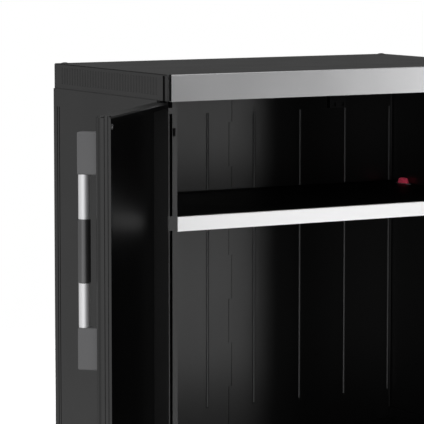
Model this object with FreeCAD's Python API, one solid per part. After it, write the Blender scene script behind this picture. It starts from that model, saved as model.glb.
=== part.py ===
import FreeCAD, Part

import math
import os

# Two-door resin tool cabinet, standing on the floor with both doors open.
# Frame: +X to the right, +Y to the rear, +Z up, in millimetres.
# Origin: on the floor under the middle of the carcass.

# ---------------------------------------------------------------- driving dimensions
overall_height = 930.0
lid_width = 890.0
lid_depth = 530.0
body_proud = 3.0              # side panels stand out past the lid's skirt
body_rear_inset = 3.0         # side panels end ahead of the lid's rear face

foot_height = 8.0
foot_radius = 22.0
foot_stem_radius = 9.0
foot_stem_length = 18.0
foot_inset = 60.0             # foot centre from the sides of the base
foot_rim_bevel = 2.0

skirt_height = 56.0           # lid skirt, from its top face down
plinth_height = 57.0          # top edge of the base skirt above the floor
skirt_wall = 4.0
lid_front_wall = 7.0
lid_top_thickness = 5.0
lid_rib_depth = 12.0
lid_rib_thickness = 3.0
lid_cross_rib_count = 5
lid_long_rib_count = 3
lid_corner_radius = 3.0
floor_top = 45.0              # inside floor of the cabinet
floor_thickness = 5.0
base_rib_thickness = 4.0
base_cross_rib_count = 6
base_long_rib_count = 4

side_wall = 6.0
post_width = 45.7
post_depth = 30.0
post_wall = 4.5
post_slot_left = 27.1         # slot's outer edge, from the side panel's outer face
post_slot_width = 6.8
post_slot_end = 29.0          # closed length at both ends of the slot
post_rib_drop = 302.0         # cross rib in the slot, below the lid's top face
post_rib_height = 31.0
post_notch_height = 16.5      # front wall cut away at the post's ends, for the pivots
tongue_thickness = 4.0
tongue_height = 32.0
rail_height = 14.0
rear_flange_width = 22.0
rear_flange_thickness = 4.0
rear_return_width = 18.0
panel_groove_width = 3.0
panel_groove_depth = 2.6
panel_groove_offsets = (18.5, 28.5)   # from the side panel's rear edge
panel_groove_inset = 40.0             # plain length above and below the grooves

back_inset = 46.0             # inner face of the back, from the lid's rear face
back_sheet = 5.0
back_rib_depth = 18.0
back_rib_width = 14.0
back_rib_tip_width = 7.0
back_groove_steep = 3.2       # flank that faces right
back_groove_gentle = 4.6      # flank that faces left
back_groove_depth = 1.0
back_lip_proud = 0.8          # ridge along the back's side edges
back_groove_first = 63.0      # nearest groove from the seam
back_groove_pitch = 126.0
back_groove_margin = 60.0     # last groove to the panel's side edge, at least
back_groove_top = 124.0       # groove ends, below the lid's top face
back_groove_bottom = 818.0
seam_offset = -10.0           # visible seam, left of the centre line
seam_lap = 20.0
seam_tooth = 8.2              # how far the teeth stand past each other
seam_tooth_height = 104.0
seam_first_jog = 250.0        # one jog's depth below the lid's top face
seam_gap = 1.2

door_thickness = 33.0
door_setback = 1.5            # rear face of a shut door to the post
door_gap = 3.5                # above and below a door
door_centre_gap = 2.0
door_skin = 3.0
door_shell_depth = 19.0
door_edge_width = 20.0        # rim bar along the free edge
door_hinge_bar = 6.0          # rim bar along the hinge side
door_rail_width = 12.0        # rim bar at top and bottom
door_edge_radius = 12.0
door_small_radius = 2.5
door_groove_width = 1.6
door_groove_depth = 2.0
door_groove_from_rim = 5.0
door_cap_rise = 2.0           # the free edge's ends stand up past the door's top and bottom
door_cap_width = 13.0
door_cap_bevel = 0.8
door_rim_bevel = 3.0          # along the rim's top and bottom, on the inner side
door_field_margin = 72.0      # plain border round the outer face's sunk field
door_field_depth = 1.2
door_field_radius = 14.0
door_open_angle = 134.0

hinge_inset = 11.0            # hinge axis from the side panel's outer face
hinge_rim_offset = 9.0        # hinge axis in front of the door's rear face
hinge_bar_offset = 7.0        # door's hinge bar from the axis
hinge_skin_overhang = 4.0     # skin past the axis, towards the side
knuckle_radius = 6.0
knuckle_length = 22.0
knuckle_gap = 0.5
hinge_pin_radius = 2.5
pivot_radius = 3.0
pivot_length = 9.0
running_clearance = 0.08
bracket_plate_width = 15.0
bracket_plate_height = 48.0
bracket_plate_thickness = 2.5
bracket_web = 4.0
hinge_drops = (316.5, 613.5)  # middle of the brackets, below the lid's top face
socket_radius = 5.5
gusset_thickness = 8.0
gusset_size = 34.0

handle_length = 472.0
handle_drop = 92.5            # top of the handle, below the lid's top face
handle_block_height = 84.0
handle_block_width = 26.0
handle_block_projection = 47.0
handle_block_radius = 3.0
handle_axis_projection = 36.5
handle_edge_distance = 47.0
handle_tube_radius = 11.2
handle_tube_wall = 1.5
handle_socket_depth = 15.0
grip_length = 127.0
grip_thickness = 2.0
grip_end_bevel = 1.0
handle_screw_radius = 2.5
handle_screw_length = 22.0
handle_screw_inset = 16.0     # from the ends of a block
screw_head_radius = 4.5
screw_head_height = 2.4

strip_end_gap = 6.5
strip_end_groove = 3.0        # depth of the gap at the strip's ends, behind the strip's seat
strip_thickness = 2.0
strip_bevel = 1.6
strip_top_drop = 0.5
strip_lip = 9.0
strip_lip_thickness = 1.0
corner_post_width = 4.0
relief_groove_from_front = 8.5
relief_groove_width = 11.0
relief_groove_depth = 3.0

flute_pitch = 12.6
flute_width = 6.4
flute_floor_width = 2.2
flute_depth = 1.6
flute_top = 8.0               # below the lid's top face
flute_bottom = 45.0
flute_front = 48.0            # first flute from the front plane
flute_rear = 35.0             # last flute from the lid's rear face, at least

cap_radius = 10.0
cap_height = 2.4
cap_inset = 21.0
cap_from_rear = 18.0
lid_screw_radius = 2.2
lid_screw_length = 30.0
boss_radius = 7.0
boss_length = 92.0

shelf_drop = 305.0            # top of the shelf's trim, below the lid's top face
shelf_trim_height = 30.5
shelf_trim_thickness = 2.5
shelf_trim_lip = 9.0
shelf_trim_lip_thickness = 1.5
shelf_front_setback = 34.0    # trim's face, from the front plane
shelf_sheet = 4.0
shelf_skirt = 3.0
shelf_rib = 2.5
shelf_lip_height = 4.0        # upstand along the rear edge
shelf_lip_thickness = 3.0
shelf_cross_rib_count = 7
shelf_long_rib_count = 3
shelf_side_clearance = 1.0
cleat_leg = 4.0
cleat_width = 18.0
cleat_height = 30.0
cleat_gusset_count = 4

lock_length = 39.0
lock_width = 20.0
lock_height = 11.5
lock_radius = 4.0
lock_plate_length = 60.0
lock_plate_width = 24.0
lock_plate_thickness = 2.0
lock_rear_setback = 37.0      # lock centre in front of the back's inner face
lock_front_setback = 115.0    # lock centre behind the front plane

catch_width = 42.0
catch_height = 30.0
catch_depth = 12.0
catch_tab_height = 16.0
catch_slot_width = 8.0
catch_slot_height = 8.0
catch_slot_depth = 2.0
beam_thickness = 4.0
beam_from_front = 39.0
striker_width = 10.0
striker_height = 10.5
striker_from_edge = 8.0       # from the door's free edge
striker_drop = 14.0           # below the door's top
striker_thickness = 1.2
striker_gap = 0.5

buffer_width = 6.0            # plug in the post's front wall, beside the slot
buffer_from_slot = 1.4
buffer_height = 17.5
buffer_proud = 1.2
buffer_bevel = 0.4
buffer_drop = 124.0           # upper buffer's middle, below the lid's top face

fit_gap = 0.3                 # between pieces that plug into each other

# ---------------------------------------------------------------- derived levels and planes
front_y = -lid_depth / 2
rear_y = lid_depth / 2
half_lid = lid_width / 2
half_body = half_lid + body_proud
inner_x = half_body - side_wall
lid_bottom = overall_height - skirt_height
lid_underside = overall_height - lid_top_thickness
post_front = front_y + door_thickness + door_setback
post_rear = post_front + post_depth
post_inner_x = half_body - post_width
panel_rear = rear_y - body_rear_inset
back_y = rear_y - back_inset
back_half_width = min(inner_x, half_lid - skirt_wall) - fit_gap
door_bottom = plinth_height + door_gap
door_top = lid_bottom - door_gap
hinge_x = -half_body + hinge_inset
hinge_y = front_y + door_thickness - hinge_rim_offset
hinge_levels = [overall_height - drop for drop in hinge_drops]
strip_half = half_lid - corner_post_width - strip_end_gap
flute_run = lid_depth - flute_front - flute_rear
flute_count = int(flute_run // flute_pitch) + 1
back_groove_run = back_half_width - abs(seam_offset) - back_groove_first - back_groove_margin
back_groove_count = int(back_groove_run // back_groove_pitch) + 1
shelf_top = overall_height - shelf_drop - shelf_trim_lip_thickness
shelf_bottom = overall_height - shelf_drop - shelf_trim_height + shelf_trim_lip_thickness
shelf_front = front_y + shelf_front_setback + shelf_trim_thickness
cap_x = half_body - cap_inset - fit_gap
cap_y = rear_y - cap_from_rear
Z_AXIS = FreeCAD.Vector(0, 0, 1)
Y_AXIS = FreeCAD.Vector(0, 1, 0)


# ---------------------------------------------------------------- building blocks
def box(x0, x1, y0, y1, z0, z1):
    """Block between two corners."""
    return Part.makeBox(x1 - x0, y1 - y0, z1 - z0, FreeCAD.Vector(x0, y0, z0))


def rod(x, y, radius, z0, z1):
    """Upright cylinder."""
    return Part.makeCylinder(radius, z1 - z0, FreeCAD.Vector(x, y, z0), Z_AXIS)


def rod_along_y(x, z, radius, y0, y1):
    """Cylinder from front to rear."""
    return Part.makeCylinder(radius, y1 - y0, FreeCAD.Vector(x, y0, z), Y_AXIS)


def prism(points, z0, z1):
    """Upright prism over a plan outline."""
    corners = [FreeCAD.Vector(x, y, z0) for x, y in points]
    face = Part.Face(Part.makePolygon(corners + corners[:1]))
    return face.extrude(FreeCAD.Vector(0, 0, z1 - z0))


def edges_where(shape, test):
    """Edges whose middle point passes the test."""
    return [edge for edge in shape.Edges if test(edge.CenterOfMass, edge)]


def is_upright(edge):
    return edge.BoundBox.ZLength > max(edge.BoundBox.XLength, edge.BoundBox.YLength)


def mirrored(shape):
    """The same piece for the other side of the cabinet."""
    return shape.mirror(FreeCAD.Vector(0, 0, 0), FreeCAD.Vector(1, 0, 0))


def joined(shapes):
    """One solid from touching or crossing solids."""
    return shapes[0].multiFuse(shapes[1:]).removeSplitter()


def spread(first, last, count):
    """Evenly spaced values from first to last."""
    return [first + (last - first) * i / (count - 1) for i in range(count)]


def save(name, shape):
    shape.exportStep("parts/" + name + ".step")


# ---------------------------------------------------------------- base
def foot_places():
    x = half_lid - foot_inset
    y = rear_y - foot_inset
    return {
        "foot_front_left": (-x, -y),
        "foot_front_right": (x, -y),
        "foot_rear_left": (-x, y),
        "foot_rear_right": (x, y),
        "foot_centre": (0.0, 0.0),
    }


def foot(place):
    """Glide foot: a disc with a bevelled rim on a stem that plugs into the base."""
    x, y = place
    disc = rod(x, y, foot_radius, 0, foot_height)
    rim = edges_where(disc, lambda p, e: p.z < foot_rim_bevel and e.Length > foot_radius)
    disc = disc.makeChamfer(foot_rim_bevel, rim[:1])
    stem = rod(x, y, foot_stem_radius, foot_height, foot_height + foot_stem_length)
    return joined([disc, stem])


def base_tray():
    """Open-bottomed floor moulding: skirt, floor plate, ribs, foot sockets and pivot gussets."""
    outer = box(-half_lid, half_lid, front_y, rear_y, foot_height, plinth_height)
    outer = outer.makeFillet(lid_corner_radius, edges_where(outer, lambda p, e: is_upright(e)))
    inside_x = half_lid - skirt_wall
    inside_y = rear_y - skirt_wall
    above = box(-inside_x, inside_x, -inside_y, inside_y, floor_top, plinth_height)
    below = box(-inside_x, inside_x, -inside_y, inside_y, foot_height, floor_top - floor_thickness)
    tray = outer.cut([above, below])
    added = []
    plate_bottom = floor_top - floor_thickness
    half_rib = base_rib_thickness / 2
    for x in spread(-inside_x, inside_x, base_cross_rib_count + 2)[1:-1]:
        added.append(box(x - half_rib, x + half_rib, -inside_y, inside_y, foot_height, plate_bottom))
    for y in spread(-inside_y, inside_y, base_long_rib_count + 2)[1:-1]:
        added.append(box(-inside_x, inside_x, y - half_rib, y + half_rib, foot_height, plate_bottom))
    for x, y in foot_places().values():
        added.append(rod(x, y, foot_radius, foot_height, plate_bottom))
    for side in (-1, 1):
        added.append(gusset(side, plinth_height - gusset_thickness, plinth_height))
    tray = joined([tray] + added)
    stem_top = foot_height + foot_stem_length + fit_gap
    stem_hole = foot_stem_radius + running_clearance
    holes = [rod(x, y, stem_hole, foot_height, stem_top) for x, y in foot_places().values()]
    for side in (-1, 1):
        x = side * -hinge_x
        holes.append(rod(x, hinge_y, socket_radius, plinth_height - gusset_thickness, plinth_height))
    return tray.cut(holes)


def gusset(side, z0, z1):
    """Corner plate that holds a pivot socket."""
    x_outer = half_lid - skirt_wall
    y_outer = front_y + skirt_wall
    corner = (side * x_outer, y_outer)
    across = (side * (x_outer - gusset_size), y_outer)
    along = (side * x_outer, y_outer + gusset_size)
    return prism([corner, across, along], z0, z1)


# ---------------------------------------------------------------- side panels
def post_slots():
    """Cutters for the open lengths of the post's slot, below and above its cross rib."""
    x0 = -half_body + post_slot_left
    x1 = x0 + post_slot_width
    y1 = post_front + post_wall
    rib_top = overall_height - post_rib_drop
    return [
        box(x0, x1, post_front, y1, plinth_height + post_slot_end, rib_top - post_rib_height),
        box(x0, x1, post_front, y1, rib_top, lid_bottom - post_slot_end),
    ]


def post_notches():
    """Cutters for the post's head and foot: the front wall stops short at the outer corner."""
    x1 = -half_body + post_slot_left + post_slot_width
    y1 = post_front + post_wall
    return [
        box(-half_body, x1, post_front, y1, plinth_height, plinth_height + post_notch_height),
        box(-half_body, x1, post_front, y1, lid_bottom - post_notch_height, lid_bottom),
    ]


def buffer_levels():
    """Middle heights of a post's two buffers."""
    upper = overall_height - buffer_drop
    return (door_top + door_bottom - upper, upper)


def buffer_block(z, clearance, front):
    """Left buffer's shape at one height, shrunk by a clearance, from the front plane given."""
    x0 = -half_body + post_slot_left + post_slot_width + buffer_from_slot + clearance
    x1 = x0 + buffer_width - 2 * clearance
    half = buffer_height / 2 - clearance
    return box(x0, x1, front, post_front + post_wall, z - half, z + half)


def bracket_plate(level):
    """Left bracket's flat plate at one height."""
    half = bracket_plate_height / 2
    x0 = hinge_x - bracket_plate_width / 2
    x1 = x0 + bracket_plate_width
    return box(x0, x1, post_front, post_front + bracket_plate_thickness, level - half, level + half)


def side_panel_left():
    """Side wall with its front post, rear channel, tongues, rails and screw boss."""
    z0 = plinth_height
    z1 = lid_bottom
    skin = box(-half_body, -inner_x, post_front, panel_rear, z0, z1)
    post = box(-half_body, -post_inner_x, post_front, post_rear, z0, z1)
    flange_y = back_y + back_sheet + fit_gap
    flange_x = -inner_x + rear_flange_width
    flange = box(-inner_x, flange_x, flange_y, flange_y + rear_flange_thickness, z0, z1)
    return_x = -inner_x + rear_return_width
    rear = box(-inner_x, return_x, panel_rear - rear_flange_thickness, panel_rear, z0, z1)
    tongue_x = -(half_lid - skirt_wall) + fit_gap
    rail_end = tongue_x + tongue_thickness
    rail_front = post_rear
    rail_rear = back_y - fit_gap
    rails = [
        box(-inner_x, rail_end, rail_front, rail_rear, z1 - rail_height, z1),
        box(-inner_x, rail_end, rail_front, rail_rear, z0, z0 + rail_height),
    ]
    tongues = [
        box(tongue_x, rail_end, rail_front, rail_rear, z1, z1 + tongue_height),
        box(tongue_x, rail_end, rail_front, rail_rear, floor_top, z0),
    ]
    boss_foot = lid_underside - boss_length
    boss = rod(-cap_x, cap_y, boss_radius, boss_foot, lid_underside)
    web = box(-inner_x, -cap_x, cap_y - rear_flange_thickness, cap_y, boss_foot, z1)
    panel = joined([skin, post, flange, rear, boss, web] + rails + tongues)
    hollow_x = -post_inner_x - post_wall
    cuts = [box(-inner_x, hollow_x, post_front + post_wall, post_rear - post_wall, z0, z1)]
    cuts += post_slots() + post_notches()
    cuts += [bracket_plate(level) for level in hinge_levels]
    cuts += [buffer_block(z, 0, post_front) for z in buffer_levels()]
    groove_x = -half_body + panel_groove_depth
    half = panel_groove_width / 2
    for offset in panel_groove_offsets:
        y = panel_rear - offset
        z2 = z0 + panel_groove_inset
        z3 = z1 - panel_groove_inset
        cuts.append(box(-half_body, groove_x, y - half, y + half, z2, z3))
    screw_end = lid_underside - lid_screw_length - fit_gap
    cuts.append(rod(-cap_x, cap_y, lid_screw_radius, screw_end, lid_underside))
    return panel.cut(cuts)


# ---------------------------------------------------------------- back panels
def seam_steps():
    """Seam x at each height span: teeth that alternate about the seam."""
    jog = overall_height - seam_first_jog
    low = floor_top
    high = lid_underside
    levels = [jog]
    while levels[0] - seam_tooth_height > low:
        levels.insert(0, levels[0] - seam_tooth_height)
    while levels[-1] + seam_tooth_height < high:
        levels.append(levels[-1] + seam_tooth_height)
    levels = [low] + levels + [high]
    side = 1 if levels.index(jog) % 2 else -1
    steps = []
    for z0, z1 in zip(levels[:-1], levels[1:]):
        steps.append((z0, z1, seam_offset + side * seam_tooth / 2))
        side = -side
    return steps


def toothed_sheet(x_far, gap, y0, y1):
    """Sheet from x_far to the toothed seam."""
    slabs = []
    for z0, z1, x in seam_steps():
        edge = x + gap
        slabs.append(box(min(x_far, edge), max(x_far, edge), y0, y1, z0, z1))
    return joined(slabs)


def groove_cutter(x):
    """Lopsided V groove in the back's inner face, stopped at both ends."""
    z0 = overall_height - back_groove_bottom
    z1 = overall_height - back_groove_top
    left = (x - back_groove_steep, back_y)
    right = (x + back_groove_gentle, back_y)
    return prism([left, (x, back_y + back_groove_depth), right], z0, z1)


def back_edge_lip(side):
    """Low bevelled ridge along the back's side edge, clear of the side panel's rails."""
    edge = side * back_half_width
    z0 = plinth_height + rail_height + fit_gap
    z1 = lid_bottom - rail_height - fit_gap
    inner = (edge - side * back_groove_gentle, back_y)
    return prism([(edge, back_y), (edge, back_y - back_lip_proud), inner], z0, z1)


def back_rib(x):
    """Box rib behind a groove, tapered towards the rear."""
    root = back_rib_width / 2
    tip = back_rib_tip_width / 2
    y0 = back_y + back_sheet
    y1 = y0 + back_rib_depth
    z0 = overall_height - back_groove_bottom
    z1 = overall_height - back_groove_top
    return prism([(x - root, y0), (x - tip, y1), (x + tip, y1), (x + root, y0)], z0, z1)


def back_groove_places(side):
    first = seam_offset + side * back_groove_first
    return [first + side * i * back_groove_pitch for i in range(back_groove_count)]


def back_panel_left():
    """Left back half: toothed front edge and a rear tongue behind the other half."""
    middle = back_y + back_sheet / 2
    rear = back_y + back_sheet
    sheet = toothed_sheet(-back_half_width, -seam_gap, back_y, rear)
    tongue_start = seam_offset - seam_tooth
    tongue = box(tongue_start, seam_offset + seam_lap, middle, rear, floor_top, lid_underside)
    ribs = [back_rib(x) for x in back_groove_places(-1)]
    panel = joined([sheet, tongue, back_edge_lip(-1)] + ribs)
    return panel.cut([groove_cutter(x) for x in back_groove_places(-1)])


def back_panel_right():
    """Right back half: toothed front lap over the other half's tongue."""
    middle = back_y + back_sheet / 2
    rear = back_y + back_sheet
    sheet = toothed_sheet(back_half_width, 0, back_y, rear)
    ribs = [back_rib(x) for x in back_groove_places(1)]
    panel = joined([sheet, back_edge_lip(1)] + ribs)
    lap_start = seam_offset - seam_tooth
    lap_end = seam_offset + seam_lap + fit_gap
    rebate = box(lap_start, lap_end, middle - fit_gap / 2, rear, floor_top, lid_underside)
    return panel.cut([rebate] + [groove_cutter(x) for x in back_groove_places(1)])


# ---------------------------------------------------------------- lid and header
def lid():
    """Top tray: skirt, fluted bands, relief grooves, front beam, gussets and cap holes."""
    outer = box(-half_lid, half_lid, front_y, rear_y, lid_bottom, overall_height)
    soft = edges_where(outer, lambda p, e: is_upright(e) or p.z > lid_underside)
    outer = outer.makeFillet(lid_corner_radius, soft)
    inside_x = half_lid - skirt_wall
    inside_front = front_y + lid_front_wall
    inside_rear = rear_y - skirt_wall
    inside = box(-inside_x, inside_x, inside_front, inside_rear, lid_bottom, lid_underside)
    tray = outer.cut(inside)
    beam_y = front_y + beam_from_front
    beam = box(-post_inner_x, post_inner_x, beam_y, beam_y + beam_thickness, lid_bottom, lid_underside)
    gussets = [gusset(side, lid_bottom, lid_bottom + gusset_thickness) for side in (-1, 1)]
    tray = joined([tray, beam] + gussets + lid_ribs())
    cuts = [strip_seat()]
    screw_hole = lid_screw_radius + fit_gap
    for side in (-1, 1):
        x = side * -hinge_x
        cuts.append(relief_groove(side))
        cuts.append(strip_end_cut(side))
        cuts.append(rod(x, hinge_y, socket_radius, lid_bottom, lid_bottom + gusset_thickness))
        cuts.append(rod(side * cap_x, cap_y, screw_hole, lid_underside, overall_height))
        cuts += [flute(side, i) for i in range(flute_count)]
    return tray.cut(cuts)


def lid_ribs():
    """Shallow grid of ribs under the lid's top, between the beam and the back."""
    wide = post_inner_x
    y0 = front_y + beam_from_front + beam_thickness
    y1 = back_y - fit_gap
    half = lid_rib_thickness / 2
    z0 = lid_underside - lid_rib_depth
    ribs = []
    for x in spread(-wide, wide, lid_cross_rib_count + 2)[1:-1]:
        ribs.append(box(x - half, x + half, y0, y1, z0, lid_underside))
    for y in spread(y0, y1, lid_long_rib_count + 2)[1:-1]:
        ribs.append(box(-wide, wide, y - half, y + half, z0, lid_underside))
    return ribs


def strip_seat():
    """Rebate in the lid's front face for the header strip, with a gap at both ends."""
    half = half_lid - corner_post_width
    return box(-half, half, front_y, front_y + strip_thickness, lid_bottom, overall_height)


def strip_end_cut(side):
    """Deeper groove between a corner post and the strip's end."""
    near = side * strip_half
    far = side * (half_lid - corner_post_width)
    y1 = front_y + strip_thickness + strip_end_groove
    return box(min(near, far), max(near, far), front_y, y1, lid_bottom, overall_height)


def relief_groove(side):
    """Upright groove in the skirt's side, just behind the front corner."""
    y0 = front_y + relief_groove_from_front
    x_outer = side * half_lid
    x_inner = side * (half_lid - relief_groove_depth)
    y1 = y0 + relief_groove_width
    top = overall_height - lid_corner_radius
    return box(min(x_outer, x_inner), max(x_outer, x_inner), y0, y1, lid_bottom, top)


def flute(side, index):
    """One upright flute of the band on the skirt's side."""
    y = front_y + flute_front + index * flute_pitch
    half = flute_width / 2
    floor = flute_floor_width / 2
    x = side * half_lid
    inner = side * (half_lid - flute_depth)
    outline = [(x, y - half), (inner, y - floor), (inner, y + floor), (x, y + half)]
    return prism(outline, overall_height - flute_bottom, overall_height - flute_top)


def header_strip():
    """Folded strip across the lid's front: face, bevelled top edge and a lip under the skirt."""
    y0 = front_y
    y1 = front_y + strip_thickness
    top = overall_height - strip_top_drop
    low = lid_bottom - strip_lip_thickness
    profile = [
        (y0, low),
        (y0, top - strip_bevel),
        (y0 + strip_bevel, top),
        (y1, top),
        (y1, lid_bottom),
        (y1 + strip_lip, lid_bottom),
        (y1 + strip_lip, low),
    ]
    corners = [FreeCAD.Vector(-strip_half, y, z) for y, z in profile]
    face = Part.Face(Part.makePolygon(corners + corners[:1]))
    return face.extrude(FreeCAD.Vector(2 * strip_half, 0, 0))


def lid_cap(side):
    """Low domed cap over a rear corner screw."""
    centre = FreeCAD.Vector(side * cap_x, cap_y, overall_height)
    dome_radius = (cap_radius ** 2 + cap_height ** 2) / (2 * cap_height)
    ball = Part.makeSphere(dome_radius, centre + Z_AXIS * (cap_height - dome_radius))
    slab = rod(centre.x, centre.y, cap_radius, overall_height, overall_height + cap_height)
    return ball.common(slab)


def lid_screws():
    """Two screws that hold the lid down on the side panels' bosses."""
    screws = []
    for side in (-1, 1):
        x = side * cap_x
        shank_radius = lid_screw_radius - running_clearance
        screws.append(rod(x, cap_y, shank_radius, lid_underside - lid_screw_length, overall_height))
    return Part.makeCompound(screws)


def door_catch():
    """Twin catch under the lid's front beam: block below it and a tab against it."""
    half = catch_width / 2
    y0 = front_y + door_thickness + striker_thickness + striker_gap
    y1 = front_y + beam_from_front
    block = box(-half, half, y0, y0 + catch_depth, lid_bottom - catch_height, lid_bottom)
    tab = box(-half, half, y0, y1, lid_bottom, lid_bottom + catch_tab_height)
    middle = door_top - striker_drop - striker_height / 2
    slots = []
    for side in (-1, 1):
        x0 = side * half / 2 - catch_slot_width / 2
        x1 = x0 + catch_slot_width
        z0 = middle - catch_slot_height / 2
        slots.append(box(x0, x1, y0, y0 + catch_slot_depth, z0, z0 + catch_slot_height))
    return joined([block, tab]).cut(slots)


# ---------------------------------------------------------------- hinges on the carcass
def hinge_bracket(level):
    """Left bracket: plate let into the post, web and knuckle round the hinge axis."""
    z0 = level - knuckle_length / 2
    z1 = level + knuckle_length / 2
    knuckle = rod(hinge_x, hinge_y, knuckle_radius, z0, z1)
    web = box(hinge_x - bracket_web, hinge_x + bracket_web, hinge_y, post_front, z0, z1)
    hole = rod(hinge_x, hinge_y, hinge_pin_radius + running_clearance, z0, z1)
    return joined([bracket_plate(level), knuckle, web]).cut(hole)


def pivot_socket(z0, z1):
    """Bush that a door's pivot turns in."""
    outer = rod(hinge_x, hinge_y, socket_radius - running_clearance, z0, z1)
    return outer.cut(rod(hinge_x, hinge_y, pivot_radius + running_clearance, z0, z1))


def door_buffers():
    """Left pair of soft plugs in the post's front wall, standing a little proud of it."""
    face = post_front - buffer_proud
    plugs = []
    for z in buffer_levels():
        plug = buffer_block(z, running_clearance, face)
        rim = edges_where(plug, lambda p, e: abs(p.y - face) < buffer_bevel)
        plugs.append(plug.makeChamfer(buffer_bevel, rim))
    return Part.makeCompound(plugs)


# ---------------------------------------------------------------- shelf
def shelf_outline(top, bottom, shrink):
    """Shelf plan, narrower between the front posts, as a solid slab."""
    wide = inner_x - shelf_side_clearance - shrink
    narrow = post_inner_x - shelf_side_clearance - shrink
    y0 = shelf_front + shrink
    y1 = post_rear + shelf_side_clearance + shrink
    y2 = back_y - shelf_side_clearance - shrink
    right = [(narrow, y0), (narrow, y1), (wide, y1), (wide, y2)]
    left = [(-x, y) for x, y in reversed(right)]
    return prism(right + left, bottom, top)


def shelf_deck():
    """Open-bottomed shelf: sheet, skirt, a grid of ribs and an upstand along the rear."""
    slab = shelf_outline(shelf_top, shelf_bottom, 0)
    hollow = shelf_outline(shelf_top - shelf_sheet, shelf_bottom, shelf_skirt)
    wide = inner_x - shelf_side_clearance - shelf_skirt
    y0 = shelf_front + shelf_skirt
    y1 = back_y - shelf_side_clearance - shelf_skirt
    half = shelf_rib / 2
    z0 = shelf_bottom + shelf_skirt
    z1 = shelf_top - shelf_sheet
    ribs = []
    for x in spread(-wide, wide, shelf_cross_rib_count + 2)[1:-1]:
        ribs.append(box(x - half, x + half, y0, y1, z0, z1))
    for y in spread(y0, y1, shelf_long_rib_count + 2)[1:-1]:
        ribs.append(box(-wide, wide, y - half, y + half, z0, z1))
    edge = inner_x - shelf_side_clearance
    rear = back_y - shelf_side_clearance
    lip_y = rear - shelf_lip_thickness
    lip = box(-edge, edge, lip_y, rear, shelf_top, shelf_top + shelf_lip_height)
    return joined([slab.cut(hollow), lip] + ribs)


def shelf_trim():
    """Channel strip that caps the shelf's front edge."""
    half = post_inner_x - shelf_side_clearance
    y0 = shelf_front - shelf_trim_thickness
    y1 = shelf_front + shelf_trim_lip
    z0 = shelf_bottom - shelf_trim_lip_thickness
    z1 = shelf_top + shelf_trim_lip_thickness
    face = box(-half, half, y0, shelf_front, z0, z1)
    over = box(-half, half, shelf_front, y1, shelf_top, z1)
    under = box(-half, half, shelf_front, y1, z0, shelf_bottom)
    return joined([face, over, under])


def shelf_cleat_left():
    """Angle rail on the side wall under the shelf, with gussets."""
    y0 = post_rear + cleat_width
    y1 = back_y - cleat_width
    leg = box(-inner_x, -inner_x + cleat_leg, y0, y1, shelf_bottom - cleat_height, shelf_bottom)
    ledge = box(-inner_x, -inner_x + cleat_width, y0, y1, shelf_bottom - cleat_leg, shelf_bottom)
    parts = [leg, ledge]
    for y in spread(y0, y1 - cleat_leg, cleat_gusset_count):
        corners = [
            FreeCAD.Vector(-inner_x, y, shelf_bottom),
            FreeCAD.Vector(-inner_x + cleat_width, y, shelf_bottom),
            FreeCAD.Vector(-inner_x, y, shelf_bottom - cleat_height),
        ]
        triangle = Part.Face(Part.makePolygon(corners + corners[:1]))
        parts.append(triangle.extrude(Y_AXIS * cleat_leg))
    return joined(parts)


def lock_places():
    return {
        "rear": back_y - lock_rear_setback,
        "front": front_y + lock_front_setback,
    }


def shelf_lock(side, y):
    """Sliding lock: rounded block on its plate, against the side wall."""
    wall = side * (inner_x - shelf_side_clearance)
    inner = wall - side * lock_width
    y0 = y - lock_length / 2
    z0 = shelf_top + lock_plate_thickness
    z1 = z0 + lock_height
    block = box(min(wall, inner), max(wall, inner), y0, y0 + lock_length, z0, z1)
    top = edges_where(block, lambda p, e: p.z > z1 - fit_gap and abs(p.x - wall) > fit_gap)
    return block.makeFillet(lock_radius, top)


def shelf_lock_plates():
    plates = []
    for side in (-1, 1):
        wall = side * (inner_x - shelf_side_clearance)
        inner = wall - side * lock_plate_width
        for y in lock_places().values():
            y0 = y - lock_plate_length / 2
            y1 = y + lock_plate_length / 2
            z1 = shelf_top + lock_plate_thickness
            plates.append(box(min(wall, inner), max(wall, inner), y0, y1, shelf_top, z1))
    return Part.makeCompound(plates)


# ---------------------------------------------------------------- doors, modelled shut on the left
def door_knuckle_spans():
    """Height spans of the door's own knuckles, above and below each bracket."""
    reach = knuckle_length / 2 + knuckle_gap
    spans = []
    for level in hinge_levels:
        spans.append((level - reach - knuckle_length, level - reach))
        spans.append((level + reach, level + reach + knuckle_length))
    return spans


def door_ends():
    """Short spans at the door's ends that hold its pivots."""
    return [(door_bottom, door_bottom + knuckle_length), (door_top - knuckle_length, door_top)]


def door_edge_cap(y0, y1, end, face):
    """Bevelled end of the free edge, from the door's end plane out to the cap's face."""
    x1 = -door_centre_gap / 2
    cap = box(x1 - door_cap_width, x1, y0, y1, min(end, face), max(end, face))
    rim = edges_where(cap, lambda p, e: abs(p.z - face) < fit_gap)
    return cap.makeChamfer(door_cap_bevel, rim)


def door_edge_caps(y0, y1):
    return [
        door_edge_cap(y0, y1, door_top, door_top + door_cap_rise),
        door_edge_cap(y0, y1, door_bottom, door_bottom - door_cap_rise),
    ]


def door_field():
    """Cutter for the outer face's shallow sunk field, with rounded corners."""
    x0 = hinge_x - hinge_skin_overhang + door_field_margin
    x1 = -door_centre_gap / 2 - door_field_margin
    z0 = door_bottom + door_field_margin
    z1 = door_top - door_field_margin
    field = box(x0, x1, front_y, front_y + door_field_depth, z0, z1)
    corners = edges_where(field, lambda p, e: e.BoundBox.YLength > door_field_depth / 2)
    return field.makeFillet(door_field_radius, corners)


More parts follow.
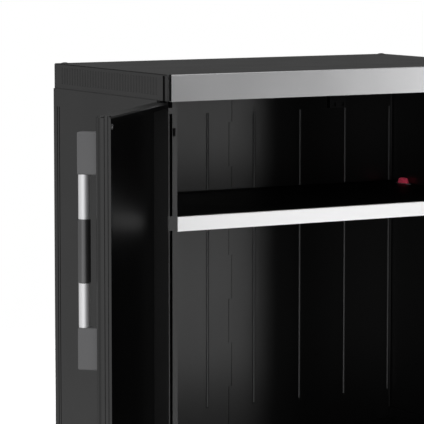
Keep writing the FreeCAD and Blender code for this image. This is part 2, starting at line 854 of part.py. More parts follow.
def door_shell():
    """Outer tray of the door: skin with rounded edges and a low wall all round."""
    x0 = hinge_x - hinge_skin_overhang
    x1 = -door_centre_gap / 2
    joint_y = front_y + door_shell_depth
    body = box(x0, x1, front_y, joint_y, door_bottom, door_top)
    face = edges_where(body, lambda p, e: abs(p.y - front_y) < fit_gap)
    body = body.makeFillet(door_edge_radius, [e for e in face if e.CenterOfMass.x > x1 - fit_gap])
    face = edges_where(body, lambda p, e: abs(p.y - front_y) < fit_gap)
    round_end = x1 - door_edge_radius - fit_gap
    body = body.makeFillet(door_small_radius, [e for e in face if e.CenterOfMass.x < round_end])
    body = joined([body] + door_edge_caps(front_y + door_edge_radius, joint_y))
    wall_x = hinge_x + hinge_bar_offset
    rebate = box(x0, wall_x, front_y + door_skin, joint_y, door_bottom, door_top)
    body = body.cut([rebate, door_recess(front_y + door_skin, joint_y), door_field()])
    return body.cut(handle_screw_shape(handle_screw_radius + running_clearance))


def door_recess(y0, y1):
    """Space inside the door's rim, between two planes."""
    x0 = hinge_x + hinge_bar_offset + door_hinge_bar
    x1 = -door_centre_gap / 2 - door_edge_width
    return box(x0, x1, y0, y1, door_bottom + door_rail_width, door_top - door_rail_width)


def door_frame():
    """Inner rim of the door with its shadow grooves and the knuckles on the hinge side."""
    x0 = hinge_x + hinge_bar_offset
    x1 = -door_centre_gap / 2
    y0 = front_y + door_shell_depth
    y1 = front_y + door_thickness
    outer = box(x0, x1, y0, y1, door_bottom, door_top)
    level = edges_where(outer, lambda p, e: p.y > y1 - fit_gap and not is_upright(e))
    outer = outer.makeChamfer(door_rim_bevel, level)
    parts = [outer.cut(door_recess(y0, y1))] + door_edge_caps(y0, y1 - door_rim_bevel)
    for z0, z1 in door_knuckle_spans() + door_ends():
        parts.append(rod(hinge_x, hinge_y, knuckle_radius, z0, z1))
        parts.append(box(hinge_x, x0, hinge_y - bracket_web, hinge_y + bracket_web, z0, z1))
    frame = joined(parts)
    cuts = []
    groove_x = x1 - door_groove_depth
    z0 = door_bottom - door_cap_rise
    z1 = door_top + door_cap_rise
    for y in (y0, y1 - door_groove_from_rim - door_groove_width):
        cuts.append(box(groove_x, x1, y, y + door_groove_width, z0, z1))
    for z0, z1 in door_knuckle_spans() + door_ends():
        cuts.append(rod(hinge_x, hinge_y, hinge_pin_radius, z0, z1))
    return frame.cut(cuts)


def door_hinge_pins():
    """Pins through the brackets, held in the door's knuckles."""
    spans = door_knuckle_spans()
    pins = []
    for below, above in zip(spans[::2], spans[1::2]):
        pins.append(rod(hinge_x, hinge_y, hinge_pin_radius, below[0], above[1]))
    return Part.makeCompound(pins)


def door_pivot(at_top):
    """Stepped pivot: root in the door's end knuckle, nose in the lid or base socket."""
    if at_top:
        root = rod(hinge_x, hinge_y, hinge_pin_radius, door_top - knuckle_length, door_top)
        nose = rod(hinge_x, hinge_y, pivot_radius, door_top, door_top + pivot_length)
    else:
        root = rod(hinge_x, hinge_y, hinge_pin_radius, door_bottom, door_bottom + knuckle_length)
        nose = rod(hinge_x, hinge_y, pivot_radius, door_bottom - pivot_length, door_bottom)
    return joined([root, nose])


def handle_x():
    return -door_centre_gap / 2 - handle_edge_distance


def handle_levels():
    top = overall_height - handle_drop
    bottom = top - handle_length
    return bottom, top


def handle_axis_y():
    return front_y - handle_axis_projection


def handle_block(upper):
    """End block of the handle, with a socket for the tube and screw holes at the rear."""
    bottom, top = handle_levels()
    z0 = top - handle_block_height if upper else bottom
    z1 = z0 + handle_block_height
    x = handle_x()
    half = handle_block_width / 2
    block = box(x - half, x + half, front_y - handle_block_projection, front_y, z0, z1)
    soft = edges_where(block, lambda p, e: p.y < front_y - fit_gap)
    block = block.makeFillet(handle_block_radius, soft)
    low, high = handle_tube_span()
    socket = rod(x, handle_axis_y(), handle_tube_radius + running_clearance, low, high)
    return block.cut([socket, handle_screw_shape(handle_screw_radius)])


def handle_tube_span():
    """Lower and upper end of the tube, inside the blocks' sockets."""
    bottom, top = handle_levels()
    reach = handle_block_height - handle_socket_depth
    return bottom + reach, top - reach


def handle_tube():
    """Silver tube between the two blocks."""
    z0, z1 = handle_tube_span()
    outer = rod(handle_x(), handle_axis_y(), handle_tube_radius, z0, z1)
    bore = rod(handle_x(), handle_axis_y(), handle_tube_radius - handle_tube_wall, z0, z1)
    return outer.cut(bore)


def handle_grip():
    """Soft sleeve on the middle of the tube, with eased ends."""
    bottom, top = handle_levels()
    middle = (bottom + top) / 2
    z0 = middle - grip_length / 2
    z1 = middle + grip_length / 2
    outer = rod(handle_x(), handle_axis_y(), handle_tube_radius + grip_thickness, z0, z1)
    ends = edges_where(outer, lambda p, e: abs(p.z - middle) > grip_length / 4)
    outer = outer.makeChamfer(grip_end_bevel, ends)
    return outer.cut(rod(handle_x(), handle_axis_y(), handle_tube_radius, z0, z1))


def handle_screw_places():
    bottom, top = handle_levels()
    places = []
    for z0 in (bottom, top - handle_block_height):
        places.append(z0 + handle_screw_inset)
        places.append(z0 + handle_block_height - handle_screw_inset)
    return places


def handle_screw_shape(radius):
    """Screw shanks at one radius, from the door's inner skin into the blocks."""
    x = handle_x()
    y1 = front_y + door_skin
    y0 = y1 - handle_screw_length
    return Part.makeCompound([rod_along_y(x, z, radius, y0, y1) for z in handle_screw_places()])


def handle_screws():
    """Pan head screws, heads inside the door."""
    y0 = front_y + door_skin
    screws = []
    for z in handle_screw_places():
        shank = rod_along_y(handle_x(), z, handle_screw_radius, y0 - handle_screw_length, y0)
        head = rod_along_y(handle_x(), z, screw_head_radius, y0, y0 + screw_head_height)
        screws.append(joined([shank, head]))
    return Part.makeCompound(screws)


def door_striker():
    """Small plate on the rim near the top of the free edge, which the catch holds."""
    x1 = -door_centre_gap / 2 - striker_from_edge
    y0 = front_y + door_thickness
    z1 = door_top - striker_drop
    return box(x1 - striker_width, x1, y0, y0 + striker_thickness, z1 - striker_height, z1)


def opened(shape):
    """Swings a left door piece from shut to open."""
    turned = shape.copy()
    turned.rotate(FreeCAD.Vector(hinge_x, hinge_y, 0), Z_AXIS, -door_open_angle)
    return turned


def door_pieces():
    return {
        "door_shell": door_shell(),
        "door_frame": door_frame(),
        "door_hinge_pins": door_hinge_pins(),
        "door_pivot_top": door_pivot(True),
        "door_pivot_bottom": door_pivot(False),
        "door_striker": door_striker(),
        "handle_block_upper": handle_block(True),
        "handle_block_lower": handle_block(False),
        "handle_tube": handle_tube(),
        "handle_grip": handle_grip(),
        "handle_screws": handle_screws(),
    }


# ---------------------------------------------------------------- every piece, by name
def build():
    os.makedirs("parts", exist_ok=True)
    save("base_tray", base_tray())
    for name, place in foot_places().items():
        save(name, foot(place))
    save("side_panel_left", side_panel_left())
    save("side_panel_right", mirrored(side_panel_left()))
    save("back_panel_left", back_panel_left())
    save("back_panel_right", back_panel_right())
    save("lid", lid())
    save("header_strip", header_strip())
    save("lid_screws", lid_screws())
    save("door_catch", door_catch())
    save("shelf_deck", shelf_deck())
    save("shelf_trim", shelf_trim())
    save("shelf_cleat_left", shelf_cleat_left())
    save("shelf_cleat_right", mirrored(shelf_cleat_left()))
    save("shelf_lock_plates", shelf_lock_plates())
    for side, word in ((-1, "left"), (1, "right")):
        save("lid_cap_" + word, lid_cap(side))
        for where, y in lock_places().items():
            save("shelf_lock_" + where + "_" + word, shelf_lock(side, y))
    top_socket = pivot_socket(lid_bottom, lid_bottom + gusset_thickness)
    bottom_socket = pivot_socket(plinth_height - gusset_thickness, plinth_height)
    brackets = [hinge_bracket(level) for level in hinge_levels]
    left_only = {
        "door_buffers": door_buffers(),
        "hinge_brackets": Part.makeCompound(brackets),
        "pivot_sockets": Part.makeCompound([top_socket, bottom_socket]),
    }
    for name, shape in left_only.items():
        save(name + "_left", shape)
        save(name + "_right", mirrored(shape))
    for name, shape in door_pieces().items():
        save("left_" + name, opened(shape))
        save("right_" + name, mirrored(opened(shape)))


build()
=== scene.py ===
import math

import bpy
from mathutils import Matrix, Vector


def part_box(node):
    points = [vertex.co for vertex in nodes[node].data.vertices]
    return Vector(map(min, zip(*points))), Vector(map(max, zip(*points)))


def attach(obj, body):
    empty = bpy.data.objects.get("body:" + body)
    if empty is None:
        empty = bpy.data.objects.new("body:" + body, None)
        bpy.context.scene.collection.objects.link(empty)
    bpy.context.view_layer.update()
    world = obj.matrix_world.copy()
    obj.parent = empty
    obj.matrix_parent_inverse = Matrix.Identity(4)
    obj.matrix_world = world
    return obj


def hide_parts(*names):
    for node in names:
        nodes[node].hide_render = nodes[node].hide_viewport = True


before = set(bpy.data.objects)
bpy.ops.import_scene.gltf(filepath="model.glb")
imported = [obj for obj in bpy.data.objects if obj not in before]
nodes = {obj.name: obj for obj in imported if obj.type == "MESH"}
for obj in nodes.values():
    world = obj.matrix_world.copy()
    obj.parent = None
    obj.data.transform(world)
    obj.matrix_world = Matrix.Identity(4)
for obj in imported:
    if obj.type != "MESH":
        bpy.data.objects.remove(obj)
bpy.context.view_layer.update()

# ---- Camera ------------------------------------------------------------------------------
# A long lens a little above the lid, to the left of the cabinet, so that the left side,
# the open left door's free edge and the inside show together.
camera_place = (-3.127, -5.134, 1.2467)
camera_yaw = math.radians(29.81)
camera_pitch = math.radians(6.21)
camera_lens = 226.2
camera_sensor = 36.0

camera_data = bpy.data.cameras.new("camera")
camera_data.lens = camera_lens
camera_data.sensor_width = camera_sensor
camera = bpy.data.objects.new("camera", camera_data)
camera.location = camera_place
camera.rotation_euler = (math.pi / 2 - camera_pitch, 0.0, -camera_yaw)
bpy.context.scene.collection.objects.link(camera)
bpy.context.scene.camera = camera

# ---- Studio ------------------------------------------------------------------------------
# A white cove: the camera sees plain white behind the cabinet, and the cabinet is lit by
# broad soft panels of light that stand round it, with dark gaps between them.
cove_dark = 0.012
cove_white = (1.0, 1.0, 1.0, 1.0)
soft_panels = (
    # azimuth, half width, soft edge, lowest and highest elevation, strength
    (51.0, 9.0, 5.0, -60.0, 25.0, 3.0),
    (38.0, 3.5, 3.5, -60.0, 25.0, 5.2),
    (28.0, 3.0, 3.0, -60.0, 25.0, 0.12),
    (-55.0, 14.0, 8.0, -60.0, 30.0, 1.5),
    (-24.0, 17.0, 8.0, -60.0, 30.0, 0.9),
    (-112.0, 45.0, 12.0, -60.0, 50.0, 0.7),
    (0.0, 60.0, 15.0, 25.0, 50.0, 0.6),
    (150.0, 18.0, 8.0, -8.0, 25.0, 0.165),
    (165.0, 40.0, 12.0, -60.0, -18.0, 0.9),
    (0.0, 200.0, 10.0, 50.0, 100.0, 1.2),
)
floor_radius = 2.4
floor_sides = 96
floor_fade_start = 0.9
floor_fade_end = 0.98 * floor_radius
floor_paper = (0.9, 0.9, 0.9, 1.0)
floor_lift = 0.62

world = bpy.data.worlds.new("studio")
bpy.context.scene.world = world
world.use_nodes = True
tree = world.node_tree
tree.nodes.clear()
link = tree.links.new


def math_node(tree, operation, *values):
    """A Math node fed with numbers or sockets, and its result."""
    node = tree.nodes.new("ShaderNodeMath")
    node.operation = operation
    for socket, value in zip(node.inputs, values):
        if isinstance(value, (int, float)):
            socket.default_value = value
        else:
            tree.links.new(value, socket)
    return node.outputs[0]


def ramp_node(tree, value, low, high, start=0.0, end=1.0):
    """A smooth Map Range node between two limits, and its result."""
    node = tree.nodes.new("ShaderNodeMapRange")
    node.interpolation_type = "SMOOTHSTEP"
    node.inputs["From Min"].default_value = low
    node.inputs["From Max"].default_value = high
    node.inputs["To Min"].default_value = start
    node.inputs["To Max"].default_value = end
    tree.links.new(value, node.inputs["Value"])
    return node.outputs["Result"]


direction = tree.nodes.new("ShaderNodeTexCoord")
axes = tree.nodes.new("ShaderNodeSeparateXYZ")
link(direction.outputs["Generated"], axes.inputs["Vector"])
x_squared = math_node(tree, "POWER", axes.outputs["X"], 2.0)
y_squared = math_node(tree, "POWER", axes.outputs["Y"], 2.0)
level = math_node(tree, "SQRT", math_node(tree, "ADD", x_squared, y_squared))
elevation = math_node(tree, "ARCTAN2", axes.outputs["Z"], level)
glow = cove_dark
for azimuth, half, edge, low, high, strength in soft_panels:
    heading = math.radians(azimuth)
    x_part = math_node(tree, "MULTIPLY", axes.outputs["X"], math.sin(heading))
    y_part = math_node(tree, "MULTIPLY", axes.outputs["Y"], -math.cos(heading))
    along = math_node(tree, "ADD", x_part, y_part)
    turn = math_node(tree, "ARCCOSINE", math_node(tree, "DIVIDE", along, level))
    inside = ramp_node(tree, turn, math.radians(half + edge), math.radians(half - edge))
    above = ramp_node(tree, elevation, math.radians(low - edge), math.radians(low + edge))
    below = ramp_node(tree, elevation, math.radians(high + edge), math.radians(high - edge))
    panel = math_node(tree, "MULTIPLY", math_node(tree, "MULTIPLY", inside, above), below)
    glow = math_node(tree, "ADD", glow, math_node(tree, "MULTIPLY", panel, strength))
backdrop = tree.nodes.new("ShaderNodeBackground")
panels = tree.nodes.new("ShaderNodeBackground")
link(glow, panels.inputs["Strength"])
path = tree.nodes.new("ShaderNodeLightPath")
choose = tree.nodes.new("ShaderNodeMixShader")
out = tree.nodes.new("ShaderNodeOutputWorld")
backdrop.inputs["Color"].default_value = cove_white
panels.inputs["Color"].default_value = cove_white
link(path.outputs["Is Camera Ray"], choose.inputs["Fac"])
link(panels.outputs["Background"], choose.inputs[1])
link(backdrop.outputs["Background"], choose.inputs[2])
link(choose.outputs["Shader"], out.inputs["Surface"])
bpy.context.scene.view_settings.view_transform = "Standard"

floor_mesh = bpy.data.meshes.new("studio_floor")
rim = []
for step in range(floor_sides):
    angle = step * math.tau / floor_sides
    rim.append((math.cos(angle) * floor_radius, math.sin(angle) * floor_radius, 0.0))
floor_mesh.from_pydata(rim, [], [range(floor_sides)])
floor = bpy.data.objects.new("studio_floor", floor_mesh)
bpy.context.scene.collection.objects.link(floor)
floor.visible_diffuse = False
floor.visible_glossy = False
floor.visible_shadow = False
floor_material = bpy.data.materials.new("studio_floor")
floor_material.use_nodes = True
tree = floor_material.node_tree
tree.nodes.clear()
link = tree.links.new
paper = tree.nodes.new("ShaderNodeBsdfDiffuse")
paper.inputs["Color"].default_value = floor_paper
white = tree.nodes.new("ShaderNodeEmission")
clear = tree.nodes.new("ShaderNodeBsdfTransparent")
lift = tree.nodes.new("ShaderNodeAddShader")
melt = tree.nodes.new("ShaderNodeMixShader")
out = tree.nodes.new("ShaderNodeOutputMaterial")
white.inputs["Strength"].default_value = floor_lift
place = tree.nodes.new("ShaderNodeNewGeometry")
reach = tree.nodes.new("ShaderNodeVectorMath")
reach.operation = "LENGTH"
link(place.outputs["Position"], reach.inputs[0])
fade = ramp_node(tree, reach.outputs["Value"], floor_fade_start, floor_fade_end)
link(fade, melt.inputs["Fac"])
link(paper.outputs["BSDF"], lift.inputs[0])
link(white.outputs["Emission"], lift.inputs[1])
link(lift.outputs["Shader"], melt.inputs[1])
link(clear.outputs["BSDF"], melt.inputs[2])
link(melt.outputs["Shader"], out.inputs["Surface"])
floor_mesh.materials.append(floor_material)

# ---- Base tray and feet ------------------------------------------------------------------
# The floor moulding of black polypropylene with a fine spark-eroded grain, and five
# push-in rubber feet. Everything else of the carcass stands on it.
resin_black = (0.0018, 0.0018, 0.0019, 1.0)
resin_roughness = 0.36
resin_specular = 0.5
resin_grain_size = 0.0011
resin_grain_depth = 0.00006
foot_black = (0.018, 0.018, 0.018, 1.0)
usual_grain_size = 0.001
fine_grain_share = 0.6
mottle_size = 0.12
scuff_scale = 38.0
scuff_limits = (0.64, 0.78)
scuff_share = 0.35
scuff_gain = 1.35
scuff_lift = 0.004
gloss_swing = (-0.05, 0.06)


def value_node(tree, kind, operation=None, **inputs):
    """A shader node with its plain inputs set by name."""
    node = tree.nodes.new(kind)
    if operation:
        node.operation = operation
    for name, value in inputs.items():
        node.inputs[name.replace("_", " ")].default_value = value
    return node


def moulded_surface():
    """Shader group of a grained moulding: fine grain height, slow mottle, faint scuffs."""
    group = bpy.data.node_groups.new("moulded_surface", "ShaderNodeTree")
    socket = group.interface.new_socket
    grain_in = socket("Grain Size", in_out="INPUT", socket_type="NodeSocketFloat")
    grain_in.default_value = usual_grain_size
    mottle_in = socket("Mottle Size", in_out="INPUT", socket_type="NodeSocketFloat")
    mottle_in.default_value = mottle_size
    socket("Height", in_out="OUTPUT", socket_type="NodeSocketFloat")
    socket("Mottle", in_out="OUTPUT", socket_type="NodeSocketFloat")
    socket("Scuffs", in_out="OUTPUT", socket_type="NodeSocketFloat")
    start = group.nodes.new("NodeGroupInput")
    end = group.nodes.new("NodeGroupOutput")
    coords = group.nodes.new("ShaderNodeTexCoord")
    grain_rate = value_node(group, "ShaderNodeMath", "DIVIDE")
    grain_rate.inputs[0].default_value = 1.0
    mottle_rate = value_node(group, "ShaderNodeMath", "DIVIDE")
    mottle_rate.inputs[0].default_value = 1.0
    cells = group.nodes.new("ShaderNodeTexVoronoi")
    cells.feature = "SMOOTH_F1"
    fine = value_node(group, "ShaderNodeTexNoise", Detail=3.0, Roughness=0.6)
    slow = value_node(group, "ShaderNodeTexNoise", Detail=4.0, Roughness=0.55)
    wear_and_highlight = value_node(
        group, "ShaderNodeTexNoise", Scale=scuff_scale, Detail=6.0, Roughness=0.7, Distortion=1.4)
    marks = value_node(
        group, "ShaderNodeMapRange", From_Min=scuff_limits[0], From_Max=scuff_limits[1])
    blend = value_node(group, "ShaderNodeMath", "MULTIPLY_ADD")
    blend.inputs[1].default_value = fine_grain_share
    link = group.links.new
    link(start.outputs["Grain Size"], grain_rate.inputs[1])
    link(start.outputs["Mottle Size"], mottle_rate.inputs[1])
    for texture in (cells, fine, slow, wear_and_highlight):
        link(coords.outputs["Object"], texture.inputs["Vector"])
    link(grain_rate.outputs[0], cells.inputs["Scale"])
    link(grain_rate.outputs[0], fine.inputs["Scale"])
    link(mottle_rate.outputs[0], slow.inputs["Scale"])
    link(cells.outputs["Distance"], blend.inputs[0])
    link(fine.outputs["Fac"], blend.inputs[2])
    link(wear_and_highlight.outputs["Fac"], marks.inputs["Value"])
    link(blend.outputs[0], end.inputs["Height"])
    link(slow.outputs["Fac"], end.inputs["Mottle"])
    link(marks.outputs["Result"], end.inputs["Scuffs"])
    return group


surface_group = moulded_surface()


def moulded(name, colour, roughness=0.5, specular=0.4, grain=usual_grain_size,
            depth=0.00005, metallic=0.0, spread=0.12):
    """A moulded or coated finish: mottled colour and roughness over a fine grain."""
    material = bpy.data.materials.new(name)
    material.use_nodes = True
    tree = material.node_tree
    shader = tree.nodes["Principled BSDF"]
    surface = tree.nodes.new("ShaderNodeGroup")
    surface.node_tree = surface_group
    surface.inputs["Grain Size"].default_value = grain
    surface.inputs["Mottle Size"].default_value = mottle_size
    tone = tree.nodes.new("ShaderNodeMix")
    tone.data_type = "RGBA"
    tone.inputs["A"].default_value = [c * (1.0 - spread) for c in colour[:3]] + [1.0]
    tone.inputs["B"].default_value = [c * (1.0 + spread) for c in colour[:3]] + [1.0]
    worn = tree.nodes.new("ShaderNodeMix")
    worn.data_type = "RGBA"
    paler = [min(1.0, c * scuff_gain + scuff_lift) for c in colour[:3]] + [1.0]
    worn.inputs["B"].default_value = paler
    faint = value_node(tree, "ShaderNodeMath", "MULTIPLY")
    faint.inputs[1].default_value = scuff_share
    gloss = value_node(
        tree, "ShaderNodeMapRange",
        To_Min=roughness + gloss_swing[0], To_Max=roughness + gloss_swing[1])
    bump = value_node(tree, "ShaderNodeBump", Strength=1.0, Distance=depth)
    link = tree.links.new
    link(surface.outputs["Mottle"], tone.inputs["Factor"])
    link(tone.outputs["Result"], worn.inputs["A"])
    link(surface.outputs["Scuffs"], faint.inputs[0])
    link(faint.outputs[0], worn.inputs["Factor"])
    link(worn.outputs["Result"], shader.inputs["Base Color"])
    link(surface.outputs["Mottle"], gloss.inputs["Value"])
    link(gloss.outputs["Result"], shader.inputs["Roughness"])
    link(surface.outputs["Height"], bump.inputs["Height"])
    link(bump.outputs["Normal"], shader.inputs["Normal"])
    shader.inputs["Metallic"].default_value = metallic
    shader.inputs["Specular IOR Level"].default_value = specular
    return material


def dress(name, material):
    """Puts a finish on a carcass or door piece."""
    piece = nodes[name]
    for slot in piece.material_slots:
        slot.material = material
    return piece


resin = moulded(
    "black_resin_grained", resin_black, roughness=resin_roughness, specular=resin_specular,
    grain=resin_grain_size, depth=resin_grain_depth)
dress("base_tray", resin)
rubber = moulded("foot_rubber", foot_black, roughness=0.75, specular=0.25, grain=0.0006)
for name in nodes:
    if name.startswith("foot_"):
        dress(name, rubber)

# ---- Side panels -------------------------------------------------------------------------
# Black resin side walls with their hollow front posts, moulded in one piece each. Their
# tongues plug into the base tray below and into the lid above.
for name in ("side_panel_left", "side_panel_right"):
    dress(name, resin)

# ---- Back panels -------------------------------------------------------------------------
# Two ribbed halves of black resin that meet in a toothed lap and are let into the side
# panels' rear edges. Painted highlight lines run up their grooves; their black is painted shade.
# painted shade: a darker black than the outer resin, for the cabinet's inside surfaces that sit
# in shade
painted_shade_black = (0.0006, 0.0006, 0.00065, 1.0)
back_grain_depth = 0.00002
groove_pitch = 0.126
groove_centre = 0.0542
groove_bottom = 0.116
groove_top = 0.806
groove_line_edge = 0.0021
groove_line_core = 0.0009
groove_painted_highlight = (0.16, 0.16, 0.163, 1.0)

# the back panels' base colour is the painted shade black
back_resin = moulded(
    "back_resin", painted_shade_black, roughness=0.34, specular=0.6,
    grain=resin_grain_size, depth=back_grain_depth)
tree = back_resin.node_tree
shader = tree.nodes["Principled BSDF"]
plain = shader.inputs["Base Color"].links[0].from_socket
place = tree.nodes.new("ShaderNodeTexCoord")
axes = tree.nodes.new("ShaderNodeSeparateXYZ")
tree.links.new(place.outputs["Object"], axes.inputs["Vector"])
# painted highlight: pale lines painted along each upright groove, between groove_bottom and
# groove_top
offset = math_node(tree, "SUBTRACT", axes.outputs["X"], groove_centre)
pitches = math_node(tree, "DIVIDE", offset, groove_pitch)
step = math_node(tree, "FRACT", math_node(tree, "ADD", pitches, 0.5))
share = math_node(tree, "ABSOLUTE", math_node(tree, "SUBTRACT", step, 0.5))
away = math_node(tree, "MULTIPLY", share, groove_pitch)
line = ramp_node(tree, away, groove_line_edge, groove_line_core)
above = math_node(tree, "GREATER_THAN", axes.outputs["Z"], groove_bottom)
line = math_node(tree, "MULTIPLY", line, above)
below = math_node(tree, "LESS_THAN", axes.outputs["Z"], groove_top)
line = math_node(tree, "MULTIPLY", line, below)
# mixes the painted highlight colour into the back panels' base colour
wear_and_highlight = tree.nodes.new("ShaderNodeMix")
wear_and_highlight.data_type = "RGBA"
wear_and_highlight.inputs["B"].default_value = groove_painted_highlight
tree.links.new(line, wear_and_highlight.inputs["Factor"])
tree.links.new(plain, wear_and_highlight.inputs["A"])
tree.links.new(wear_and_highlight.outputs["Result"], shader.inputs["Base Color"])
for name in ("back_panel_left", "back_panel_right"):
    dress(name, back_resin)

# ---- Shelf -------------------------------------------------------------------------------
# A ribbed black tray on two resin rails. A satin silver channel is pushed over its front
# edge, and red locks on grey plates hold it to the side walls.
trim_silver = (0.9, 0.9, 0.905, 1.0)
lock_red = (0.85, 0.05, 0.12, 1.0)
# painted glow: the red lock knobs emit a little light of their own
lock_painted_glow = (1.0, 0.1, 0.18, 1.0)
lock_painted_glow_strength = 0.1
plate_grey = (0.16, 0.16, 0.165, 1.0)
oval_sides = 40
knob_forward = 0.028
knob_rings = (
    # half length, half width, height
    (0.0185, 0.0098, 0.0),
    (0.0185, 0.0098, 0.0022),
    (0.0165, 0.0088, 0.0028),
    (0.016, 0.0086, 0.0075),
    (0.0145, 0.0078, 0.0102),
    (0.0105, 0.0056, 0.0117),
    (0.004, 0.0022, 0.0122),
)
plate_rings = (
    (0.0292, 0.0099, 0.0),
    (0.0298, 0.01, 0.0004),
    (0.0298, 0.01, 0.0016),
    (0.0288, 0.0094, 0.002),
)

trim = moulded(
    "silver_trim", trim_silver, roughness=0.38, specular=0.5,
    grain=0.0008, depth=0.00002, spread=0.03)
dress("shelf_trim", trim)
# the shelf tray and rails also take the painted shade black
shelf_resin = moulded(
    "shelf_resin", painted_shade_black, roughness=0.5, specular=0.08, grain=resin_grain_size)
for name in ("shelf_deck", "shelf_cleat_left", "shelf_cleat_right"):
    dress(name, shelf_resin)
red = moulded(
    "red_lock", lock_red, roughness=0.42, specular=0.5, grain=0.0007, depth=0.00003)
# a faint emission is painted on the red knobs to lighten them
red_glow_shader = red.node_tree.nodes["Principled BSDF"]
red_glow_shader.inputs["Emission Color"].default_value = lock_painted_glow
red_glow_shader.inputs["Emission Strength"].default_value = lock_painted_glow_strength
grey = moulded("grey_lock_plate", plate_grey, roughness=0.5, grain=0.0007)


def oval_stack(name, rings, centre):
    """A closed moulding of oval rings, each given by half length, half width and height."""
    points = []
    for half_length, half_width, height in rings:
        for turn in range(oval_sides):
            angle = turn * math.tau / oval_sides
            x = centre[0] + math.sin(angle) * half_width
            y = centre[1] + math.cos(angle) * half_length
            points.append((x, y, centre[2] + height))
    underside = list(range(oval_sides))
    top = list(range(len(points) - 1, len(points) - oval_sides - 1, -1))
    faces = [underside, top]
    for level in range(len(rings) - 1):
        low = level * oval_sides
        high = low + oval_sides
        for i in range(oval_sides):
            j = (i + 1) % oval_sides
            faces.append((low + i, high + i, high + j, low + j))
    mesh = bpy.data.meshes.new(name)
    mesh.from_pydata(points, [], faces)
    piece = bpy.data.objects.new(name, mesh)
    bpy.context.scene.collection.objects.link(piece)
    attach(piece, "carcass")
    return piece


plate_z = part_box("shelf_lock_plates")[0].z
for end in ("front", "rear"):
    for side in ("left", "right"):
        node = "shelf_lock_%s_%s" % (end, side)
        low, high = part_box(node)
        place = (low + high) / 2
        place.z = low.z
        if end == "rear":
            place.y -= knob_forward
        knob = oval_stack("lock_knob_%s_%s" % (end, side), knob_rings, place)
        knob.data.materials.append(red)
        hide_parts(node)
        for polygon in knob.data.polygons:
            polygon.use_smooth = True
        place.z = plate_z
        plate = oval_stack("lock_plate_%s_%s" % (end, side), plate_rings, place)
        plate.data.materials.append(grey)
        if end == "rear" and side == "left":
            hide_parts("shelf_lock_plates")

# ---- Lid ---------------------------------------------------------------------------------
# One black moulding with fluted bands at both sides, screwed down at the rear corners
# under two domed caps. The silver header strip is let into its front.
header_silver = (0.39, 0.39, 0.395, 1.0)
header_edge_radius = 0.0012
header_edge_segments = 2
header_edge_angle = math.radians(30.0)
weld_reach = 0.00002
flat_angle = math.radians(0.3)
zinc_grey = (0.55, 0.55, 0.56, 1.0)


def soften(piece, width):
    """Rounds a piece's sharp edges a little and smooths its curved faces."""
    weld = piece.modifiers.new("weld", "WELD")
    weld.merge_threshold = weld_reach
    flatten = piece.modifiers.new("flatten", "DECIMATE")
    flatten.decimate_type = "DISSOLVE"
    flatten.angle_limit = flat_angle
    bevel = piece.modifiers.new("soft_edges", "BEVEL")
    bevel.width = width
    bevel.segments = header_edge_segments
    bevel.limit_method = "ANGLE"
    bevel.angle_limit = header_edge_angle
    bevel.harden_normals = False
    shade = piece.modifiers.new("even_shading", "WEIGHTED_NORMAL")
    shade.keep_sharp = False


dress("lid", resin)
for name in ("lid_cap_left", "lid_cap_right"):
    dress(name, resin)
header = moulded(
    "header_silver", header_silver, roughness=0.12, specular=0.3,
    grain=0.0009, depth=0.000002, metallic=0.36, spread=0.02)
soften(dress("header_strip", header), header_edge_radius)
steel = moulded("zinc_steel", zinc_grey, roughness=0.35, grain=0.0004, metallic=1.0)
dress("lid_screws", steel)

# ---- Catch, brackets, bushes and buffers -------------------------------------------------
# Small smooth black mouldings: the twin catch under the lid's front beam, the knuckles
# let into the posts, the pivot bushes, and the small plugs in the posts' fronts.
smooth_black = (0.001, 0.001, 0.0011, 1.0)

small_black = moulded(
    "smooth_black", smooth_black, roughness=0.6, specular=0.03, grain=0.0005, depth=0.00002)
for name in ("door_catch", "hinge_brackets_left", "hinge_brackets_right", "pivot_sockets_left",
             "pivot_sockets_right", "door_buffers_left", "door_buffers_right"):
    dress(name, small_black)

# ---- Doors -------------------------------------------------------------------------------
# Each door is a grained outer shell with a grooved rim clipped behind it, so that its
# inner side is an open tray. It turns on two knuckle hinges and a pivot at each end.
door_open = 134.0
# limits of the inner-face mask that paints shade on the doors' inner faces
inner_face_from = 0.9
inner_face_full = 0.99
inner_specular = 0.07
striker_bright = (0.75, 0.75, 0.76, 1.0)


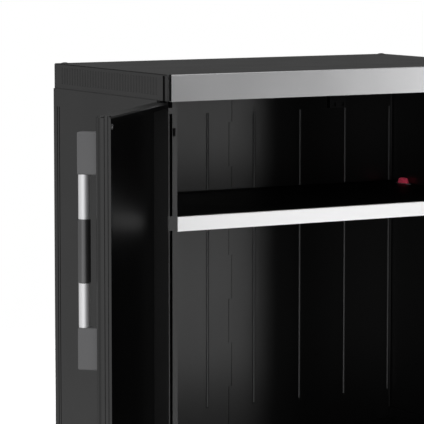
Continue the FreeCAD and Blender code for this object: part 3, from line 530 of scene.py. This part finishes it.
def door_resin(side, turn):
    """Grained black of a door shell, with painted shade on the inner face: darker and duller
    there.
    """
    material = moulded(
        side + "door_resin", resin_black, roughness=resin_roughness,
        specular=resin_specular, grain=resin_grain_size, depth=resin_grain_depth)
    tree = material.node_tree
    shader = tree.nodes["Principled BSDF"]
    plain = shader.inputs["Base Color"].links[0].from_socket
    facing = value_node(tree, "ShaderNodeVectorMath", "DOT_PRODUCT")
    facing.inputs[1].default_value = (math.sin(turn), -math.cos(turn), 0.0)
    place = tree.nodes.new("ShaderNodeTexCoord")
    tree.links.new(place.outputs["Normal"], facing.inputs[0])
    inner = ramp_node(tree, facing.outputs["Value"], inner_face_from, inner_face_full)
    # painted shade: faces turned to the inner side are mixed to the darker painted shade black
    painted_shade_mix = tree.nodes.new("ShaderNodeMix")
    painted_shade_mix.data_type = "RGBA"
    painted_shade_mix.inputs["B"].default_value = painted_shade_black
    tree.links.new(inner, painted_shade_mix.inputs["Factor"])
    tree.links.new(plain, painted_shade_mix.inputs["A"])
    tree.links.new(painted_shade_mix.outputs["Result"], shader.inputs["Base Color"])
    dull = ramp_node(tree, inner, 0.0, 1.0, resin_specular, inner_specular)
    tree.links.new(dull, shader.inputs["Specular IOR Level"])
    return material


bright = moulded(
    "bright_striker", striker_bright, roughness=0.22, grain=0.0005, metallic=1.0)
for side in ("left_", "right_"):
    turn = math.radians(180.0 - door_open)
    door_black = door_resin(side, turn if side == "left_" else -turn)
    dress(side + "door_shell", door_black)
    dress(side + "door_frame", door_black)
    dress(side + "door_striker", bright)
    dress(side + "door_hinge_pins", steel)
    dress(side + "door_pivot_top", small_black)
    dress(side + "door_pivot_bottom", small_black)

# ---- Handles -----------------------------------------------------------------------------
# A satin aluminium tube with a soft black sleeve on its middle, held between two dark
# grey moulded blocks that are screwed on from inside the door.
block_dark = (0.115, 0.115, 0.118, 1.0)
tube_silver = (0.78, 0.78, 0.79, 1.0)
sleeve_dark = (0.12, 0.12, 0.122, 1.0)

block_grey = moulded("handle_block_grey", block_dark, roughness=0.5, grain=0.001)
tube_metal = moulded(
    "tube_aluminium", tube_silver, roughness=0.5,
    grain=0.0004, depth=0.00001, metallic=0.8, spread=0.04)
sleeve = moulded(
    "sleeve_rubber", sleeve_dark, roughness=0.34, grain=0.0008, depth=0.00001, metallic=0.9)
for side in ("left_", "right_"):
    dress(side + "handle_block_upper", block_grey)
    dress(side + "handle_block_lower", block_grey)
    dress(side + "handle_tube", tube_metal)
    dress(side + "handle_grip", sleeve)
    dress(side + "handle_screws", steel)
